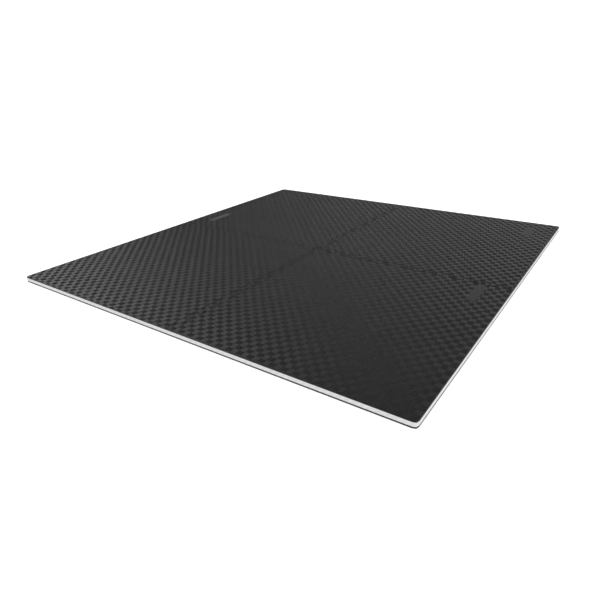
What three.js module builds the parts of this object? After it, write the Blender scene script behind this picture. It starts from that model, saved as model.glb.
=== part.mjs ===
// An interlocking gym mat: four square foam tiles that lock edge to edge by dovetail teeth.
// Each tile is a bonded sandwich of three sheets: a black playing skin, a thick white core and a
// black ground skin. Units are millimetres and +Z is up. The origin is the centre of the underside.
// Seam X runs along Y and parts left from right. Seam Y runs along X and parts front from back.

import * as THREE from "three";

// Driving dimensions
const TILE = 1000; // side of one tile, from the middle of a seam to the outer edge
const THICKNESS = 25;
const PLAYING_SKIN = 4; // the black top sheet
const GROUND_SKIN = 5; // the black bottom sheet
const BOND = 0.3; // clearance at each glued face
const TEETH = 12; // teeth along one side of a tile
const TOOTH_DEPTH = 30;
const TOOTH_HEAD = 48; // width of a tooth at its tip
const TOOTH_ROUNDING = 5; // tangent length of the curve that rounds each corner of a tooth
const SEAM_GAP = 0.5; // clearance between neighbouring tiles
const CORNER_RADIUS = 15; // the mat's four outer corners
const CURVE_SEGMENTS = 2;
const EDGE_SHARE = 0.45; // the most of an edge that the rounding at one of its ends may take
const TOLERANCE = 1e-6; // points closer than this are the same point

// Worked out from them
const PITCH = TILE / TEETH;
const REACH = TOOTH_DEPTH / 2; // how far a seam swings to each side of its middle line
const HEAD = TOOTH_HEAD / 2;
const NECK = PITCH / 2 - HEAD; // half the width of a tooth at its root
const CORE = THICKNESS - PLAYING_SKIN - GROUND_SKIN - 2 * BOND;

const LAYERS = [
  { name: "ground_skin", z: 0, height: GROUND_SKIN, colour: 0x17181a, roughness: 0.85 },
  { name: "core", z: GROUND_SKIN + BOND, height: CORE, colour: 0xe4e4e2, roughness: 0.9 },
  {
    name: "playing_skin",
    z: THICKNESS - PLAYING_SKIN,
    height: PLAYING_SKIN,
    colour: 0x26272a,
    roughness: 0.7,
  },
];

// One half of a seam, from the mat's centre outwards, as [distance from the centre, swing] corners.
// start is where the first straight stretch begins: the seams meet there.
function toothedHalf(start) {
  const corners = [start];
  for (let tooth = 0; tooth < TEETH; tooth++) {
    const near = tooth * PITCH;
    const far = near + PITCH;
    corners.push([near + HEAD, REACH], [near + NECK, -REACH]);
    corners.push([far - NECK, -REACH], [far - HEAD, REACH]);
  }
  corners.push([TILE, REACH]);
  return corners;
}

// A seam half that starts at the root of its first tooth: the corners before it belong to the
// centre block of the back tile.
function shortenedHalf(start) {
  const cornersBeforeRoot = 3;
  return [start, ...toothedHalf(start).slice(cornersBeforeRoot)];
}

// The four ways that a seam half lies on the mat. Seam X swings to +X, and seam Y to -Y.
const alongBack = ([along, swing]) => [swing, along];
const alongFront = ([along, swing]) => [swing, -along];
const alongLeft = ([along, swing]) => [-along, -swing];
const alongRight = ([along, swing]) => [along, -swing];

// Each tile's outline, anticlockwise from the mat's centre. The back tile fills the middle with a
// square corner block, and the front tile's two first teeth close around that block.
const TILES = [
  {
    name: "back_tile",
    outward: [-1, 1],
    first: toothedHalf([-REACH, REACH]).map(alongBack),
    last: toothedHalf([-REACH, REACH]).map(alongLeft),
  },
  {
    name: "left_tile",
    outward: [-1, -1],
    first: toothedHalf([REACH, REACH]).map(alongLeft),
    last: shortenedHalf([REACH, -REACH]).map(alongFront),
  },
  {
    name: "front_tile",
    outward: [1, -1],
    first: shortenedHalf([REACH, -REACH]).map(alongFront),
    last: shortenedHalf([REACH, -REACH]).map(alongRight),
    inner: [REACH, -REACH],
  },
  {
    name: "right_tile",
    outward: [1, 1],
    first: shortenedHalf([REACH, -REACH]).map(alongRight),
    last: toothedHalf([REACH, REACH]).map(alongBack),
  },
];

const samePoint = (a, b) => Math.hypot(a[0] - b[0], a[1] - b[1]) < TOLERANCE;
const onOuterEdge = (x, y) => Math.max(Math.abs(x), Math.abs(y)) > TILE - TOLERANCE;

// The corners of a tile's outline, each with its rounding.
function outlineCorners({ outward, first, last, inner }) {
  const corner = [outward[0] * TILE, outward[1] * TILE];
  const loop = [...(inner ? [inner] : []), ...first, corner, ...last.slice().reverse()];
  const distinct = loop.filter((point, i) => !samePoint(point, loop[(i + 1) % loop.length]));
  return distinct.map((point) => {
    const seamRounding = onOuterEdge(...point) ? 0 : TOOTH_ROUNDING;
    const rounding = samePoint(point, corner) ? CORNER_RADIUS : seamRounding;
    return { point: new THREE.Vector2(...point), rounding };
  });
}

// Where two lines cross, each given by a point and a direction.
function crossing(p, u, q, v) {
  const along = (q.clone().sub(p).cross(v)) / u.cross(v);
  return p.clone().addScaledVector(u, along);
}

// Moves every seam edge of an anticlockwise outline inwards by half the gap. Outer edges stay.
function insetCorners(corners) {
  const edges = corners.map(({ point }, i) => {
    const next = corners[(i + 1) % corners.length].point;
    const direction = next.clone().sub(point).normalize();
    const middle = point.clone().add(next).multiplyScalar(0.5);
    const inset = onOuterEdge(middle.x, middle.y) ? 0 : SEAM_GAP / 2;
    const inwards = new THREE.Vector2(-direction.y, direction.x);
    const start = point.clone().addScaledVector(inwards, inset);
    return { start, direction };
  });
  return corners.map(({ rounding }, i) => {
    const before = edges[(i + edges.length - 1) % edges.length];
    const after = edges[i];
    const point = crossing(before.start, before.direction, after.start, after.direction);
    return { point, rounding };
  });
}

// A closed shape through the corners, with a curve in place of each rounded corner.
function roundedShape(corners) {
  const shape = new THREE.Shape();
  corners.forEach(({ point, rounding }, i) => {
    const before = corners[(i + corners.length - 1) % corners.length].point;
    const after = corners[(i + 1) % corners.length].point;
    const shorterEdge = Math.min(point.distanceTo(before), point.distanceTo(after));
    const reach = Math.min(rounding, EDGE_SHARE * shorterEdge);
    const enter = point.clone().addScaledVector(before.clone().sub(point).normalize(), reach);
    const leave = point.clone().addScaledVector(after.clone().sub(point).normalize(), reach);
    if (i === 0) shape.moveTo(enter.x, enter.y);
    else shape.lineTo(enter.x, enter.y);
    if (reach > 0) shape.quadraticCurveTo(point.x, point.y, leave.x, leave.y);
  });
  shape.closePath();
  return shape;
}

function buildTile(tile) {
  const group = new THREE.Group();
  const shape = roundedShape(insetCorners(outlineCorners(tile)));
  for (const layer of LAYERS) {
    const geometry = new THREE.ExtrudeGeometry(shape, {
      depth: layer.height,
      bevelEnabled: false,
      curveSegments: CURVE_SEGMENTS,
    });
    const material = new THREE.MeshStandardMaterial({
      color: layer.colour,
      roughness: layer.roughness,
      metalness: 0,
    });
    const mesh = new THREE.Mesh(geometry, material);
    mesh.name = `${tile.name}_${layer.name}`;
    mesh.position.z = layer.z;
    group.add(mesh);
  }
  return group;
}

const mat = new THREE.Group();
TILES.forEach((tile) => mat.add(buildTile(tile)));

export default mat;
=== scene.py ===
import math

import bpy
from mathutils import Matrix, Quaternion, Vector


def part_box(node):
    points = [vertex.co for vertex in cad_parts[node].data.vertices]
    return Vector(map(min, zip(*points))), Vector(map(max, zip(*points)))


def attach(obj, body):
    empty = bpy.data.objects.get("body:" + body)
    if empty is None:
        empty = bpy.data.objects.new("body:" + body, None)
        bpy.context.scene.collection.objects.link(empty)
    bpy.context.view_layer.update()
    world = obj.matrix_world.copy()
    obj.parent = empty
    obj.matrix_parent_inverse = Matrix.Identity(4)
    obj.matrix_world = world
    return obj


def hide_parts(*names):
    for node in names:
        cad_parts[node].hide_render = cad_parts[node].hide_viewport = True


# An interlocking gym mat: four foam tiles, each a white core between two black foam skins.
# The frame gives each tile's outline and the heights of its three sheets. The playing skin's
# basket weave is real relief: blocks of raised ribs, which run along X and along Y by turns.

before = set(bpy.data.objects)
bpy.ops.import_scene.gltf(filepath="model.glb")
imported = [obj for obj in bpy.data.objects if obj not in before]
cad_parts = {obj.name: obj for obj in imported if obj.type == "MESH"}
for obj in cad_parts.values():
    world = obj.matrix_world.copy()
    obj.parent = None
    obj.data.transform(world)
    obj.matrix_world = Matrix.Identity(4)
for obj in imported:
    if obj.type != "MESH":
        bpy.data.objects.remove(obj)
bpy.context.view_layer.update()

MM = 0.001
SAME_HEIGHT = 1e-6  # points closer in height than this are level
OUTLINE_DIGITS = 6  # an outline's points are matched to the micrometre

TILES = ("back_tile", "left_tile", "front_tile", "right_tile")

# The basket weave
BLOCK = (1.0 / 42, 1.0 / 40)  # 42 blocks along X and 40 along Y in each metre
RIBS = 5  # in one block
RIB_HEIGHT = 1.5 * MM
SHOULDER_HEIGHT = 1.15 * MM
SHOULDER = 0.24  # how far a shoulder is from its groove, as a share of the rib's width
NOSE = 0.05  # how far a rib's end slopes, as a share of the block
WEAVE_START = {  # each tile was cut from its sheet at its own place in the pattern
    "back_tile": (-5.1 * MM, -13.6 * MM),
    "left_tile": (27.8 * MM, 14.5 * MM),
    "front_tile": (-0.9 * MM, -20.1 * MM),
    "right_tile": (13.0 * MM, -11.7 * MM),
}

# Blank smooth labels, all but flush with the ribs' crests
LABEL_SIZE = (44 * MM, 172 * MM)
LABEL_ROUNDING = 9 * MM
LABEL_RISE = 0.05 * MM  # above the crests
LABEL_ROOT = 1 * MM  # how far above the skin's underside a label starts, inside the skin
LABEL_CENTRE = {
    "back_tile": (-888 * MM, 187 * MM),
    "front_tile": (875 * MM, -117 * MM),
    "right_tile": (867 * MM, 817 * MM),
}

# Edges
SEAM_CHAMFER = 2.15 * MM  # how far the playing skin's upper edge is cut back, seams and outside alike
SEAM_DEPTH = 3.4 * MM  # how far down that cut goes
CUTTER_RISE = 1 * MM  # how far the cutting solid stands above the skin
FOOT_CHAMFER = 0.1 * MM
CORE_CHAMFER = 0.35 * MM
BOND_LINE = 0.04 * MM  # what shows of the glued joint between two sheets
CREASE = math.radians(40)  # edges sharper than this stay crisp
CORNER_STEPS = 6

# Heights, from the frame
CREST_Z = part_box("back_tile_playing_skin")[1].z - LABEL_RISE
GROOVE_Z = CREST_Z - RIB_HEIGHT
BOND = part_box("back_tile_core")[0].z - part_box("back_tile_ground_skin")[1].z
SHEET_REACH = (BOND - BOND_LINE) / 2  # how far a sheet grows into each glued joint

# The camera
CAMERA_PLACE = Vector((1.382, -1.992, 0.901))
CAMERA_AIM = Vector((0.372, -0.492, 0.025))
CAMERA_ROLL = math.radians(-1.55)
CAMERA_SENSOR = 36
CAMERA_LENS = 29.36
CAMERA_SHIFT = -0.043
CAMERA_CLIP = (0.05, 200)

# The studio: a white world and a floor
BACKDROP = 1.1  # how bright the camera sees the world
ROOM_LEFT = 0.75  # how bright the world is to matte surfaces, at -X
ROOM_RIGHT = 1.5  # and at +X
HORIZON_GLOW = 1.35  # how bright the world is to gloss, at the horizon
HORIZON_TOP = 0.56  # where that glow has faded out, as the sine of the height above the horizon
SOFTBOXES = (  # direction, cosines of the angles to the outer and inner edge, brightness
    ((-0.78, -0.38, 0.50), 0.95, 0.985, 6.2),
    ((-0.50, 0.84, 0.22), 0.95, 0.995, 1.4),
    ((-0.92, 0.36, 0.16), 0.97, 0.992, 1.5),
    ((0.25, -0.10, 0.96), 0.90, 0.985, 2.0),
)
FLOOR_REACH = 30.0
FLOOR_DROP = 0.1 * MM  # the floor lies just under the mat
FLOOR_WHITE = 0.97
FLOOR_GLOW = 0.25  # keeps the mat's contact shadow faint


# ---------------------------------------------------------------- mesh helpers

class Solid:
    """The points and faces of one closed mesh in the making."""

    def __init__(self):
        self.points = []
        self.faces = []
        self.known = {}

    def point(self, x, y, z):
        self.points.append((x, y, z))
        return len(self.points) - 1

    def shared_point(self, key, x, y, z):
        if key not in self.known:
            self.known[key] = self.point(x, y, z)
        return self.known[key]

    def made(self, name):
        mesh = bpy.data.meshes.new(name)
        mesh.from_pydata(self.points, [], self.faces)
        mesh.update()
        piece = bpy.data.objects.new(name, mesh)
        bpy.context.scene.collection.objects.link(piece)
        return piece


def combine(piece, tool, operation):
    """Joins tool to piece, or keeps what they share, and removes tool."""
    modifier = piece.modifiers.new(operation.lower(), "BOOLEAN")
    modifier.operation = operation
    modifier.solver = "MANIFOLD"
    modifier.object = tool
    depsgraph = bpy.context.evaluated_depsgraph_get()
    mesh = bpy.data.meshes.new_from_object(piece.evaluated_get(depsgraph))
    piece.modifiers.clear()
    piece.data = mesh
    bpy.data.objects.remove(tool)


def smooth(piece):
    """Shades the rounded places smooth and leaves the creases crisp."""
    piece.data.shade_smooth()
    piece.data.set_sharp_from_angle(angle=CREASE)


# ---------------------------------------------------------------- outlines

def outline_of(node):
    """A CAD sheet's outline seen from above, anticlockwise."""
    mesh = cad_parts[node].data
    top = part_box(node)[1].z
    following = {}
    for polygon in mesh.polygons:
        corners = [mesh.vertices[i].co for i in polygon.vertices]
        if min(corner.z for corner in corners) < top - SAME_HEIGHT:
            continue
        ring = [
            (round(corner.x, OUTLINE_DIGITS), round(corner.y, OUTLINE_DIGITS)) for corner in corners
        ]
        for start, end in zip(ring, ring[1:] + ring[:1]):
            following.setdefault(start, set()).add(end)
    for start in following:  # an edge that goes both ways lies inside the outline
        inner = {end for end in following[start] if start in following[end]}
        following[start] = following[start] - inner
        for end in inner:
            following[end] = following[end] - {start}
    loop = [next(start for start in following if following[start])]
    while True:
        (end,) = following[loop[-1]]
        if end == loop[0]:
            return [Vector(point) for point in loop]
        loop.append(end)


def inset(loop, distance):
    """The loop with every edge moved inwards by distance."""
    moved = []
    for before, here, after in zip(loop[-1:] + loop[:-1], loop, loop[1:] + loop[:1]):
        arriving = (here - before).normalized().orthogonal()
        leaving = (after - here).normalized().orthogonal()
        inwards = (arriving + leaving).normalized()
        moved.append(here + inwards * distance / inwards.dot(arriving))
    return moved


def prism(name, loop, rings):
    """A closed solid over the loop. Its side goes through the rings, each a height and an inset."""
    solid = Solid()
    levels = []
    for height, distance in rings:
        levels.append([solid.point(p.x, p.y, height) for p in inset(loop, distance)])
    solid.faces.append(levels[0][::-1])
    solid.faces.append(levels[-1])
    for lower, upper in zip(levels, levels[1:]):
        for i in range(len(loop)):
            j = (i + 1) % len(loop)
            solid.faces.append([lower[i], lower[j], upper[j], upper[i]])
    return solid.made(name)


def rounded_rectangle(centre, size, rounding):
    """An anticlockwise loop."""
    loop = []
    for quarter, (right, back) in enumerate(((1, 1), (-1, 1), (-1, -1), (1, -1))):
        corner = Vector((right * (size[0] / 2 - rounding), back * (size[1] / 2 - rounding)))
        for step in range(CORNER_STEPS + 1):
            angle = math.pi / 2 * (quarter + step / CORNER_STEPS)
            around = Vector((math.cos(angle), math.sin(angle))) * rounding
            loop.append(Vector(centre) + corner + around)
    return loop


# ---------------------------------------------------------------- the playing skin's weave

def weave_block(solid, column, row, start):
    """One block of the weave. Its grooves and its border lie at GROOVE_Z."""
    along = (column + row) % 2  # the axis that the ribs run along: 0 is X, 1 is Y

    def place(share_along, share_across):
        shares = (share_along, share_across) if along == 0 else (share_across, share_along)
        return (
            start[0] + (column + shares[0]) * BLOCK[0],
            start[1] + (row + shares[1]) * BLOCK[1],
        )

    def border(step_along, step_across):
        steps = (step_along, step_across) if along == 0 else (step_across, step_along)
        key = (column * RIBS + steps[0], row * RIBS + steps[1])
        return solid.shared_point(key, *place(step_along / RIBS, step_across / RIBS), GROOVE_Z)

    def ridge(share_across, height):
        """The two ends of a line along the rib. A higher line is shorter."""
        reach = NOSE * height / SHOULDER_HEIGHT
        z = GROOVE_Z + height
        first = solid.point(*place(reach, share_across), z)
        return first, solid.point(*place(1 - reach, share_across), z)

    def groove(rib):
        """The points of the groove before this rib. On the block's own edge it has every point."""
        steps = range(RIBS + 1) if rib in (0, RIBS) else (0, RIBS)
        return [border(step, rib) for step in steps]

    faces = []
    for rib in range(RIBS):
        low, high = groove(rib), groove(rib + 1)
        near = ridge((rib + SHOULDER) / RIBS, SHOULDER_HEIGHT)
        crest = ridge((rib + 0.5) / RIBS, RIB_HEIGHT)
        far = ridge((rib + 1 - SHOULDER) / RIBS, SHOULDER_HEIGHT)
        faces.append([*low, near[1], near[0]])
        faces.append([near[0], near[1], crest[1], crest[0]])
        faces.append([crest[0], crest[1], far[1], far[0]])
        faces.append([far[0], far[1], *reversed(high)])
        faces.append([low[0], near[0], crest[0], far[0], high[0]])
        faces.append([low[-1], high[-1], far[1], crest[1], near[1]])
    solid.faces.extend(faces if along == 0 else [face[::-1] for face in faces])


def weave_slab(name, low, high, start):
    """A closed slab that covers low to high: the weave on top of a flat bottom."""
    first = [math.floor((low[axis] - start[axis]) / BLOCK[axis]) for axis in (0, 1)]
    last = [math.ceil((high[axis] - start[axis]) / BLOCK[axis]) for axis in (0, 1)]
    solid = Solid()
    for column in range(first[0], last[0]):
        for row in range(first[1], last[1]):
            weave_block(solid, column, row, start)
    left, front, right, back = (n * RIBS for n in (*first, *last))
    bottom = {}
    for x, y in ((left, front), (right, front), (right, back), (left, back)):
        above = solid.points[solid.known[x, y]]
        bottom[x, y] = solid.point(above[0], above[1], low.z)

    def wall(a, b):
        """The wall under the slab's border from corner a to corner b."""
        steps = max(abs(b[0] - a[0]), abs(b[1] - a[1]))
        top = []
        for step in range(steps + 1):
            x = a[0] + (b[0] - a[0]) * step // steps
            y = a[1] + (b[1] - a[1]) * step // steps
            top.append(solid.known[x, y])
        solid.faces.append([bottom[a], bottom[b], *reversed(top)])

    corners = list(bottom)
    for a, b in zip(corners, corners[1:] + corners[:1]):
        wall(a, b)
    solid.faces.append([bottom[corner] for corner in reversed(corners)])
    return solid.made(name)


def playing_skin(tile):
    """The black top sheet: the weave and its label, cut to the tile's outline."""
    node = f"{tile}_playing_skin"
    low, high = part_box(node)
    low.z -= SHEET_REACH
    skin = weave_slab(node + "_relief", low, high, WEAVE_START[tile])
    if tile in LABEL_CENTRE:
        label = rounded_rectangle(LABEL_CENTRE[tile], LABEL_SIZE, LABEL_ROUNDING)
        rings = [
            (low.z + LABEL_ROOT, 0),
            (GROOVE_Z, 0),
            (high.z, RIB_HEIGHT),
        ]
        combine(skin, prism("label", label, rings), "UNION")
    rings = [
        (low.z, 0),
        (high.z - SEAM_DEPTH, 0),
        (high.z + CUTTER_RISE, SEAM_CHAMFER * (1 + CUTTER_RISE / SEAM_DEPTH)),
    ]
    combine(skin, prism("cutter", outline_of(node), rings), "INTERSECT")
    return skin


# ---------------------------------------------------------------- the plain sheets

def core(tile):
    """The thick white sheet. Its cut edge is eased where it meets the skins."""
    node = f"{tile}_core"
    low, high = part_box(node)
    bottom, top = low.z - SHEET_REACH, high.z + SHEET_REACH
    rings = [
        (bottom, CORE_CHAMFER),
        (bottom + CORE_CHAMFER, 0),
        (top - CORE_CHAMFER, 0),
        (top, CORE_CHAMFER),
    ]
    return prism(node + "_foam", outline_of(node), rings)


def ground_skin(tile):
    """The black bottom sheet, eased along its lower edge."""
    node = f"{tile}_ground_skin"
    low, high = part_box(node)
    rings = [
        (low.z, FOOT_CHAMFER),
        (low.z + FOOT_CHAMFER, 0),
        (high.z + SHEET_REACH, 0),
    ]
    return prism(node + "_foam", outline_of(node), rings)


# ---------------------------------------------------------------- materials

class NodeTree:
    """A node tree in the making."""

    def __init__(self, tree):
        self.nodes = tree.nodes
        self.links = tree.links

    def set(self, socket, value):
        """Links another node's output to the socket, or gives it a plain value."""
        if isinstance(value, bpy.types.NodeSocket):
            self.links.new(value, socket)
        else:
            socket.default_value = value

    def node(self, kind, inputs=None, **settings):
        """A new node, with its inputs by name or number."""
        node = self.nodes.new("ShaderNode" + kind)
        for name, value in settings.items():
            setattr(node, name, value)
        for name, value in (inputs or {}).items():
            self.set(node.inputs[name], value)
        return node

    def spread(self, value, from_low, from_high, to_low, to_high, soft=False):
        """The value moved from one range to another, and held inside it."""
        inputs = {
            "Value": value,
            "From Min": from_low,
            "From Max": from_high,
            "To Min": to_low,
            "To Max": to_high,
        }
        curve = "SMOOTHSTEP" if soft else "LINEAR"
        return self.node("MapRange", inputs, interpolation_type=curve).outputs["Result"]

    def math(self, operation, a, b):
        return self.node("Math", {0: a, 1: b}, operation=operation).outputs["Value"]


class Shader(NodeTree):
    """A material's node tree around one Principled shader, in the tile's own coordinates."""

    def __init__(self, name, **settings):
        self.material = bpy.data.materials.new(name)
        self.material.use_nodes = True
        super().__init__(self.material.node_tree)
        self.surface = self.nodes["Principled BSDF"]
        for socket, value in settings.items():
            self.surface.inputs[socket.replace("_", " ")].default_value = value
        self.place = self.node("TexCoord").outputs["Object"]

    def noise(self, size, detail=2.0, roughness=0.5):
        """Noise from 0 to 1 whose spots are about size metres across."""
        inputs = {"Vector": self.place, "Scale": 1 / size, "Detail": detail, "Roughness": roughness}
        return self.node("TexNoise", inputs).outputs["Fac"]

    def cells(self, size):
        """The distance to the edge of closed foam cells about size metres across."""
        inputs = {"Vector": self.place, "Scale": 1 / size}
        return self.node("TexVoronoi", inputs, feature="DISTANCE_TO_EDGE").outputs["Distance"]

    def blend(self, share, low, high):
        """A colour from low to high, each a colour or another node's output."""
        mix = self.node("MixRGB", {"Fac": share})
        for name, colour in (("Color1", low), ("Color2", high)):
            linked = isinstance(colour, bpy.types.NodeSocket)
            self.set(mix.inputs[name], colour if linked else (*colour, 1))
        return mix.outputs["Color"]

    def bump(self, height, depth, below=None):
        """A normal from a height of 0 to 1 that stands for depth metres."""
        node = self.node("Bump", {"Height": height, "Distance": depth})
        if below is not None:
            self.set(node.inputs["Normal"], below)
        return node.outputs["Normal"]

    def drive(self, socket, value):
        self.set(self.surface.inputs[socket], value)


def playing_skin_material():
    """Near-black satin foam skin: fine pebble grain and a cloudy sheen. The crests are worn a little
    paler, the labels are duller, and the cut edges below the weave are matte, their darkest colour
    painted shade."""
    darker, lighter = (0.008, 0.008, 0.0081), (0.012, 0.012, 0.0121)
    worn_crest = (0.018, 0.018, 0.0182)
    # painted shade: the colour of the cut faces below the weave, made darkest so the seams and edges
    # show as dark lines
    cut_edge_painted_shade = (0.005, 0.005, 0.0051)
    shader = Shader("embossed_black_skin", Specular_IOR_Level=0.25)
    height = shader.node("SeparateXYZ", {"Vector": shader.place}).outputs["Z"]
    raised = shader.spread(height, GROOVE_Z - 0.05 * MM, CREST_Z, 0, 1)
    # the cut faces below the weave: painted shade in the colour, and a real matte finish in the
    # roughness
    cut = shader.spread(height, GROOVE_Z - 0.55 * MM, GROOVE_Z - 0.07 * MM, 1, 0)
    label = shader.spread(height, CREST_Z + 0.005 * MM, CREST_Z + 0.035 * MM, 0, 1)
    clouds = shader.noise(160 * MM, detail=4)
    scuffs = shader.noise(12 * MM, detail=5, roughness=0.65)

    worn = shader.math("MULTIPLY", raised, shader.spread(scuffs, 0.35, 0.75, 0, 1))
    skin = shader.blend(worn, shader.blend(clouds, darker, lighter), worn_crest)
    # below the weave the colour turns to painted shade
    shader.drive("Base Color", shader.blend(cut, skin, cut_edge_painted_shade))

    weave_dull = shader.spread(raised, 0, 1, 0.38, 0.35)
    dull = shader.math("ADD", weave_dull, shader.spread(label, 0, 1, 0, 0.11))
    dull = shader.math("MAXIMUM", dull, shader.spread(cut, 0, 1, 0, 0.8))
    uneven = shader.spread(scuffs, 0.3, 0.7, -0.04, 0.05)
    shader.drive("Roughness", shader.math("ADD", dull, uneven))

    pebbles = shader.bump(shader.cells(0.9 * MM), 0.04 * MM)
    shader.drive("Normal", shader.bump(scuffs, 0.05 * MM, pebbles))
    return shader.material


def core_material():
    """White cross-linked foam, cut by a blade: fine cells and faint slanting knife marks."""
    cell_wall = (0.50, 0.50, 0.495)
    darker, lighter = (0.62, 0.62, 0.615), (0.70, 0.70, 0.695)
    knife_mark = (0.82, 0.82, 0.815)
    shader = Shader("white_foam", Specular_IOR_Level=0.25)
    turned = shader.node("Mapping", {"Vector": shader.place, "Scale": (1, 1, -1)}).outputs["Vector"]
    inputs = {"Vector": turned, "Scale": 24.0, "Distortion": 0.8, "Detail": 2.0, "Detail Scale": 3.0}
    waves = shader.node("TexWave", inputs, wave_type="BANDS", bands_direction="DIAGONAL")
    cuts = waves.outputs["Fac"]
    cells = shader.spread(shader.cells(0.8 * MM), 0, 0.25, 0, 1)
    clouds = shader.noise(50 * MM, detail=3)

    foam = shader.blend(clouds, darker, lighter)
    marked = shader.blend(shader.spread(cuts, 0, 1, 0, 0.65), foam, knife_mark)
    shader.drive("Base Color", shader.blend(cells, cell_wall, marked))
    shader.drive("Roughness", shader.spread(cuts, 0, 1, 0.78, 0.9))
    shader.drive("Normal", shader.bump(cells, 0.08 * MM, shader.bump(cuts, 0.12 * MM)))
    return shader.material


def ground_skin_material():
    """Matte black foam skin with a leathery anti-slip grain."""
    crease = (0.006, 0.006, 0.0062)
    darker, lighter = (0.009, 0.009, 0.0095), (0.016, 0.016, 0.0165)
    shader = Shader("matte_black_skin", Specular_IOR_Level=0.15)
    grain = shader.spread(shader.cells(2.4 * MM), 0, 0.3, 0, 1)
    dust = shader.noise(30 * MM, detail=5, roughness=0.6)
    shader.drive("Base Color", shader.blend(grain, crease, shader.blend(dust, darker, lighter)))
    shader.drive("Roughness", shader.spread(dust, 0.3, 0.7, 0.68, 0.85))
    shader.drive("Normal", shader.bump(grain, 0.15 * MM))
    return shader.material


# ---------------------------------------------------------------- the tiles

SHEETS = (  # CAD name, material slot, builder, material
    ("playing_skin", "playing_skin", playing_skin, playing_skin_material()),
    ("core", "core_foam", core, core_material()),
    ("ground_skin", "ground_skin", ground_skin, ground_skin_material()),
)


def build_tile(tile):
    for sheet, slot, build, material in SHEETS:
        piece = build(tile)
        smooth(piece)
        piece.data.materials.clear()
        piece.data.materials.append(material)
        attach(piece, tile)
        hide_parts(f"{tile}_{sheet}")


# ---------------------------------------------------------------- the studio

def place_camera():
    data = bpy.data.cameras.new("camera")
    data.sensor_width = CAMERA_SENSOR
    data.lens = CAMERA_LENS
    data.shift_x = CAMERA_SHIFT
    data.clip_start, data.clip_end = CAMERA_CLIP
    camera = bpy.data.objects.new("camera", data)
    bpy.context.scene.collection.objects.link(camera)
    camera.location = CAMERA_PLACE
    camera.rotation_mode = "QUATERNION"
    aimed = (CAMERA_AIM - CAMERA_PLACE).to_track_quat("-Z", "Y")
    camera.rotation_quaternion = aimed @ Quaternion((0, 0, 1), CAMERA_ROLL)
    bpy.context.scene.camera = camera


def light_world():
    """A white world that differs by kind of ray. The camera sees an even backdrop. Matte surfaces
    are lit by a room that is brighter towards +X. Gloss mirrors a glow along the horizon, which
    fades upwards, and a few softboxes."""
    world = bpy.data.worlds.new("studio")
    world.use_nodes = True
    tree = NodeTree(world.node_tree)
    direction = tree.node("TexCoord").outputs["Generated"]
    compass = tree.node("SeparateXYZ", {"Vector": direction}).outputs
    glow = tree.spread(compass["Z"], 0, HORIZON_TOP, HORIZON_GLOW, 0, soft=True)
    for towards, outer, inner, brightness in SOFTBOXES:
        aim = tree.node("VectorMath", {0: direction, 1: towards}, operation="DOT_PRODUCT")
        box = tree.spread(aim.outputs["Value"], outer, inner, 0, brightness, soft=True)
        glow = tree.math("ADD", glow, box)
    room = tree.spread(compass["X"], -1, 1, ROOM_LEFT, ROOM_RIGHT)
    ray = tree.node("LightPath").outputs
    seen = tree.node("Mix", {"Factor": ray["Is Glossy Ray"], "A": room, "B": glow})
    inputs = {"Factor": ray["Is Camera Ray"], "A": seen.outputs["Result"], "B": BACKDROP}
    seen = tree.node("Mix", inputs)
    background = tree.nodes["Background"].inputs
    tree.set(background["Color"], (1, 1, 1, 1))
    tree.set(background["Strength"], seen.outputs["Result"])
    bpy.context.scene.world = world


def lay_floor():
    corners = [Vector((x, y)) * FLOOR_REACH for x, y in ((-1, -1), (1, -1), (1, 1), (-1, 1))]
    solid = Solid()
    solid.faces.append([solid.point(corner.x, corner.y, -FLOOR_DROP) for corner in corners])
    floor = solid.made("floor")
    shader = Shader("pale_floor", Roughness=0.9, Specular_IOR_Level=0.0, Emission_Strength=FLOOR_GLOW)
    shader.drive("Base Color", (FLOOR_WHITE, FLOOR_WHITE, FLOOR_WHITE, 1))
    shader.drive("Emission Color", (1, 1, 1, 1))
    floor.data.materials.append(shader.material)


for tile in TILES:
    build_tile(tile)
place_camera()
light_world()
lay_floor()
bpy.context.scene.view_settings.view_transform = "Standard"
